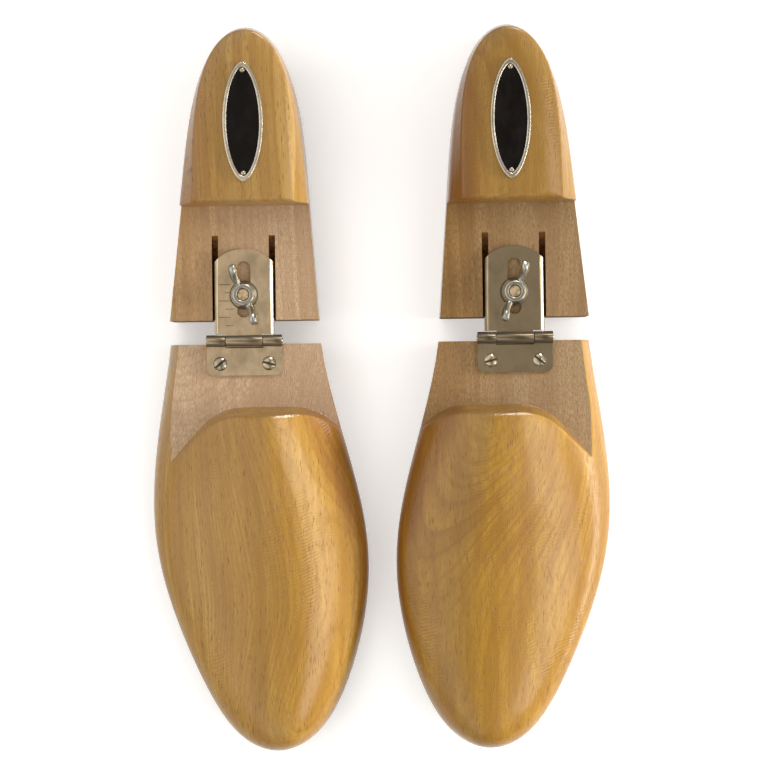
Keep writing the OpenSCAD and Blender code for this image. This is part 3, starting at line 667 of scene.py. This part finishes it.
def heel_profile():
    """Height, inset, tuck of the back and chamfer of the heel block's rings, from the foot to the crown."""
    foot = [(FOOT_R * (1 - math.cos(a)), FOOT_R * (1 - math.sin(a)), FOOT_R * (1 - math.sin(a)), 0)
            for a in np.linspace(0, math.pi / 2, ROUND_STEPS)]
    belly = (FOOT_R + HEEL_H) * BELLY_SHARE
    shoulder = HEEL_H - CHAMFER_H
    crown = [(HEEL_H - HEEL_CROWN * (1 - u)**2, CROWN_W * u, BACK_LEAN + CROWN_W * u, CHAMFER_W)
             for u in np.linspace(0, 1, ROUND_STEPS)]
    corner = len(foot)
    return rounded(foot + [(belly, 0, 0, 0), (shoulder, 0, BACK_LEAN * LEAN_SHARE, 0)] + crown,
                   {corner: BELLY_ROUND, corner + 1: SHOULDER_ROUND, corner + 2: CROWN_ROUND})


def heel(wood):
    block = skin("right_heel_wood", [heel_ring(*p) for p in heel_profile()], None, wood, at_front)
    wide = HEEL_FRONT_W
    step = prism("step", box(-wide, wide, HEEL_GAP - OVER, STEP_AT), DECK_H, 2 * HEEL_H, wood,
                 slot=sawn_below)
    upright = Matrix(((0, 0, 1, 0), (1, 0, 0, 0), (0, 1, 0, 0), (0, 0, 0, 1)))
    r = STEP_ROUND
    arc = [(STEP_AT + r - r * math.cos(a), HEEL_H - r + r * math.sin(a))
           for a in np.linspace(0, math.pi / 2, ROUND_STEPS)]
    before, above = STEP_AT - SMALL_OVER, HEEL_H + SMALL_OVER
    corner = [(before, HEEL_H - r)] + arc + [(STEP_AT + r, above), (before, above)]
    edge = prism("edge", corner, -wide, wide, wood, upright)
    floor_z = DECK_H - GROOVE_DEPTH
    run_out = math.sqrt(SAW_R**2 - (SAW_R - GROOVE_DEPTH)**2)
    start = HEEL_GAP + GROOVE_LEN - run_out
    saw = [(start + SAW_R * math.sin(a), floor_z + SAW_R - SAW_R * math.cos(a))
           for a in np.linspace(0, math.asin(run_out / SAW_R), SAW_STEPS)]
    before, above = HEEL_GAP - OVER / 2, DECK_H + SMALL_OVER
    groove = [(before, floor_z)] + saw + [(saw[-1][0], above), (before, above)]
    grooves = [prism("groove", groove, side * GROOVE_X - GROOVE_W / 2, side * GROOVE_X + GROOVE_W / 2, wood,
                     upright, lambda normal: DARK_CUT_SLOT) for side in (-1, 1)]
    bores = [prism(name, circle(0, BOLT_AT, radius, steps), -OVER / 2, top, wood,
                   slot=lambda normal: RAW_SLOT)
             for name, radius, steps, top in (("bore", BOLT_R, BORE_STEPS, DECK_H + OVER / 2),
                                              ("recess", RECESS_R, RECESS_STEPS, RECESS_H))]
    carve(block, [step, edge] + grooves + bores)
    return block


def mirrored(block, name, wood):
    """The block for the left foot, in woods of its own."""
    mesh = block.data.copy()
    mesh.transform(Matrix.Scale(-1, 4, (1, 0, 0)))
    mesh.flip_normals()
    for i, m in enumerate(wood):
        mesh.materials[i] = m
    return new_object(name, mesh)


for part, make, body in (("forepart", forepart, "foreparts"), ("heel", heel, None)):
    right = make(WOODS["right_" + part])
    right.data.transform(Matrix.Translation((-PAIR_SPACING / 2 * MM, HINGE_Y * MM, 0)))
    left = mirrored(right, f"left_{part}_wood", WOODS["left_" + part])
    for side, block in (("right", right), ("left", left)):
        block.data.shade_smooth()
        block.data.set_sharp_from_angle(angle=SHARP)
        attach(block, body or f"{side}_{part}")
        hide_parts(f"{side}_{part}_block")


# Wing nuts: a cast body and two swept wings, run together

def wing():
    """Rings of one wing, from inside the body out to its rounded ear."""
    p = WING_PATH
    a = np.arange(WING_STEPS) * 2 * math.pi / WING_STEPS
    lens = np.sign(np.sin(a)) * np.abs(np.sin(a))**WING_POWER
    out = []
    for t in [i / WING_STEPS for i in range(WING_STEPS)] + [1 - 1e-3]:
        x, z = bezier(p, t)
        run = 3 * (p[1] - p[0]) * (1 - t)**2 + 6 * (p[2] - p[1]) * t * (1 - t) + 3 * (p[3] - p[2]) * t**2
        up = np.array([-run[1], run[0]]) / np.linalg.norm(run)
        end = math.sqrt(1 - max(0.0, (t - EAR_FROM) / (1 - EAR_FROM))**2)
        thick, high = mix(*WING_THICK, t) * mix(EAR_THIN, 1, end), mix(*WING_HIGH, t) * end
        bend = WING_BEND * math.sin(math.pi * t)
        out.append(np.column_stack([x + up[0] * lens * high, bend + np.cos(a) * thick,
                                    z + up[1] * lens * high]))
    return out


def wing_nut(side):
    nut = turned(f"{side}_cast_nut", NUT_PROFILE, CAST)
    bm = bmesh.new()
    bm.from_mesh(nut.data)
    for half in (1, -1):
        ear = skin("ear", wing(), None, [CAST])
        ear.data.transform(Matrix.Diagonal((half, half, 1, 1)))
        bm.from_mesh(ear.data)
        bpy.data.meshes.remove(ear.data)
    bm.to_mesh(nut.data)
    bm.free()
    cast = nut.modifiers.new("cast", "REMESH")
    cast.mode, cast.voxel_size, cast.use_smooth_shade = "VOXEL", CAST_GRAIN * MM, True
    soft = nut.modifiers.new("soft", "SMOOTH")
    soft.factor, soft.iterations = 0.5, 6
    nut.data = baked(nut)
    sign = -1 if side == "right" else 1
    turn = Matrix.Rotation(math.radians(90 + WING_TURN), 4, "Z")
    if sign > 0:
        turn = Matrix.Scale(-1, 4, (1, 0, 0)) @ turn
    place = Matrix.Translation((sign * PAIR_SPACING / 2 * MM, (HINGE_Y + BOLT_AT) * MM, NUT_Z * MM))
    nut.data.transform(place @ turn)
    if sign > 0:
        nut.data.flip_normals()
    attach(nut, f"{side}_nut")
    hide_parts(f"{side}_wing_nut")


for side in SIDES:
    wing_nut(side)


# Metal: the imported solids, welded and with their edges broken

EDGES = {"fixed_leaf": 0.1, "sliding_leaf": 0.08, "name_plate": 0.22, "clamp_bolt": 0.2,
         "hinge_pin": 0.15, "inner_leaf_screw": 0.12, "outer_leaf_screw": 0.12, "plate_enamel": 0.08,
         "front_plate_pin": 0.08, "back_plate_pin": 0.08}
for side in SIDES:
    metals = {"fixed_leaf": LEAVES[side], "sliding_leaf": LEAVES[side], "name_plate": RIM,
              "plate_enamel": ENAMEL, "clamp_bolt": BOLT, "hinge_pin": BRIGHT}
    for piece, width in EDGES.items():
        obj = NODES[f"{side}_{piece}"]
        weld = obj.modifiers.new("weld", "WELD")
        weld.merge_threshold = 1e-6
        bevel = obj.modifiers.new("edge", "BEVEL")
        bevel.width, bevel.segments, bevel.limit_method = width * MM, 3, "ANGLE"
        bevel.angle_limit, bevel.harden_normals = EDGE_ANGLE, True
        obj.data.materials.clear()
        obj.data.materials.append(metals.get(piece, SCREW))


# Floor, in metres

FLOOR_HALF, FLOOR_DROP = 30.0, 0.0002
floor_net = Net("floor")
tone = floor_net.noise(floor_net.scaled(floor_net.place(), 260, 260, 260), 2.0)
floor_net.set(Base_Color=floor_net.blend(tone, srgb(246, 246, 246), srgb(251, 251, 251)), Roughness=0.7,
              Emission_Color=(1, 1, 1, 1), Emission_Strength=0.32)
floor_mesh = bpy.data.meshes.new("floor")
corners = [(x, y, 0) for x, y in box(-FLOOR_HALF, FLOOR_HALF, -FLOOR_HALF, FLOOR_HALF)]
floor_mesh.from_pydata(corners, [], [(0, 1, 2, 3)])
floor_mesh.materials.append(floor_net.material)
floor = new_object("floor", floor_mesh)
floor.location.z = -FLOOR_DROP
floor.visible_diffuse = floor.visible_shadow = False


# Room: its brightness from below to above, times that from left to right

SKY_Z = ((-1, (0.1,) * 3), (-0.03, (0.12,) * 3), (0.03, (0.5,) * 3), (0.4, (0.55,) * 3), (0.6, (0.75,) * 3),
         (0.74, (1.2,) * 3), (0.86, (1.1, 1.08, 1.05)), (0.94, (0.6, 0.54, 0.45)),
         (0.999, (0.44, 0.36, 0.27)))
SKY_X = ((-1, (1.0,) * 3), (-0.1, (1.15,) * 3), (0.1, (0.2,) * 3), (0.3, (0.7,) * 3), (0.999, (0.9,) * 3))
SKY_STRENGTH = 1.3
scene = bpy.context.scene
scene.world = bpy.data.worlds.new("studio")
scene.world.use_nodes = True
sky = scene.world.node_tree
axes = sky.nodes.new("ShaderNodeSeparateXYZ")
sky.links.new(sky.nodes.new("ShaderNodeTexCoord").outputs["Generated"], axes.inputs[0])


def sky_ramp(axis, stops):
    """Brightness of the room along one axis."""
    ramp = sky.nodes.new("ShaderNodeValToRGB")
    place = sky.nodes.new("ShaderNodeMapRange")
    sky.links.new(axes.outputs[axis], place.inputs["Value"])
    place.inputs["From Min"].default_value = -1
    sky.links.new(place.outputs[0], ramp.inputs[0])
    for stop, colour in stops:
        ramp.color_ramp.elements.new((stop + 1) / 2).color = (*colour, 1)
    ramp.color_ramp.elements.remove(ramp.color_ramp.elements[0])
    return ramp.outputs[0]


both = sky.nodes.new("ShaderNodeMix")
both.data_type, both.blend_type = "RGBA", "MULTIPLY"
both.inputs[0].default_value = 1.0
sky.links.new(sky_ramp("Z", SKY_Z), both.inputs[6])
sky.links.new(sky_ramp("X", SKY_X), both.inputs[7])
sky.links.new(both.outputs[2], sky.nodes["Background"].inputs[0])
sky.nodes["Background"].inputs[1].default_value = SKY_STRENGTH


# Lights, in metres and watts

WARM, DAY = (1.0, 0.97, 0.92), (1.0, 0.98, 0.95)
FOREPARTS = [bpy.data.objects[f"{side}_forepart_wood"] for side in SIDES]
SLIDING = [NODES[f"{side}_sliding_leaf"] for side in SIDES]


def softbox(name, place, size, power, colour, gloss=True, only=(), but=()):
    """Area light aimed at the pair: a gloss card is only mirrored in it, any other one only lights it.
    It works on some pieces only, or on all but some, where these are named."""
    light = bpy.data.lights.new(name, "AREA")
    light.shape, light.size, light.size_y = "RECTANGLE", *size
    light.energy, light.color = power, colour
    obj = new_object(name, light)
    obj.location = place
    obj.rotation_euler = (-Vector(place)).to_track_quat("-Z", "Y").to_euler()
    obj.visible_diffuse, obj.visible_glossy = not gloss, gloss
    if only or but:
        group = bpy.data.collections.new(name)
        for piece in only or but:
            group.objects.link(piece)
        for member in group.collection_objects:
            member.light_linking.link_state = "INCLUDE" if only else "EXCLUDE"
        obj.light_linking.receiver_collection = group


softbox("window", (1.4, 0.0, 0.25), (0.9, 0.16), 34, (1.0, 0.99, 0.97), gloss=False)
softbox("right_card", (1.4, -0.1, 0.05), (1.2, 0.4), 12, DAY)
softbox("high_card", (0.95, -0.48, 0.82), (0.4, 0.6), 3.0, WARM, but=FOREPARTS[:1])
softbox("crest_card", (0.54, -0.38, 0.94), (0.5, 0.42), 2.7, WARM, only=FOREPARTS[:1])
softbox("top_card", (0.42, 0.14, 0.9), (0.24, 0.24), 0.6, WARM)
softbox("left_card", (-1.2, 0.0, 0.65), (1.2, 0.9), 3.2, (1.0, 0.96, 0.93), but=SLIDING)
softbox("lip_card", (0.45, 0.75, 0.55), (0.6, 0.6), 45, WARM, only=FOREPARTS)
softbox("leaf_card", (1.1, 0.05, 0.45), (0.8, 1.0), 25, (0.95, 0.98, 1.0), only=SLIDING)
softbox("back_card", (0.3, 0.95, 0.6), (0.3, 0.3), 6, DAY)


# Camera: straight above, with the photo's scale at the height of the decks

PIXEL_MM, PHOTO_PX = 0.407, 768
CAMERA_AT, CAMERA_ROLL = (0.0015, 0.0023, 1.0), math.radians(-0.75)
camera = bpy.data.cameras.new("camera")
camera.sensor_width = 36
deck_span = PIXEL_MM * PHOTO_PX * MM
camera.lens = camera.sensor_width / (deck_span / (CAMERA_AT[2] - DECK_H * MM))
camera_obj = new_object("camera", camera)
camera_obj.location = CAMERA_AT
camera_obj.rotation_euler = (0, 0, CAMERA_ROLL)
scene.camera = camera_obj
scene.view_settings.view_transform = "Standard"
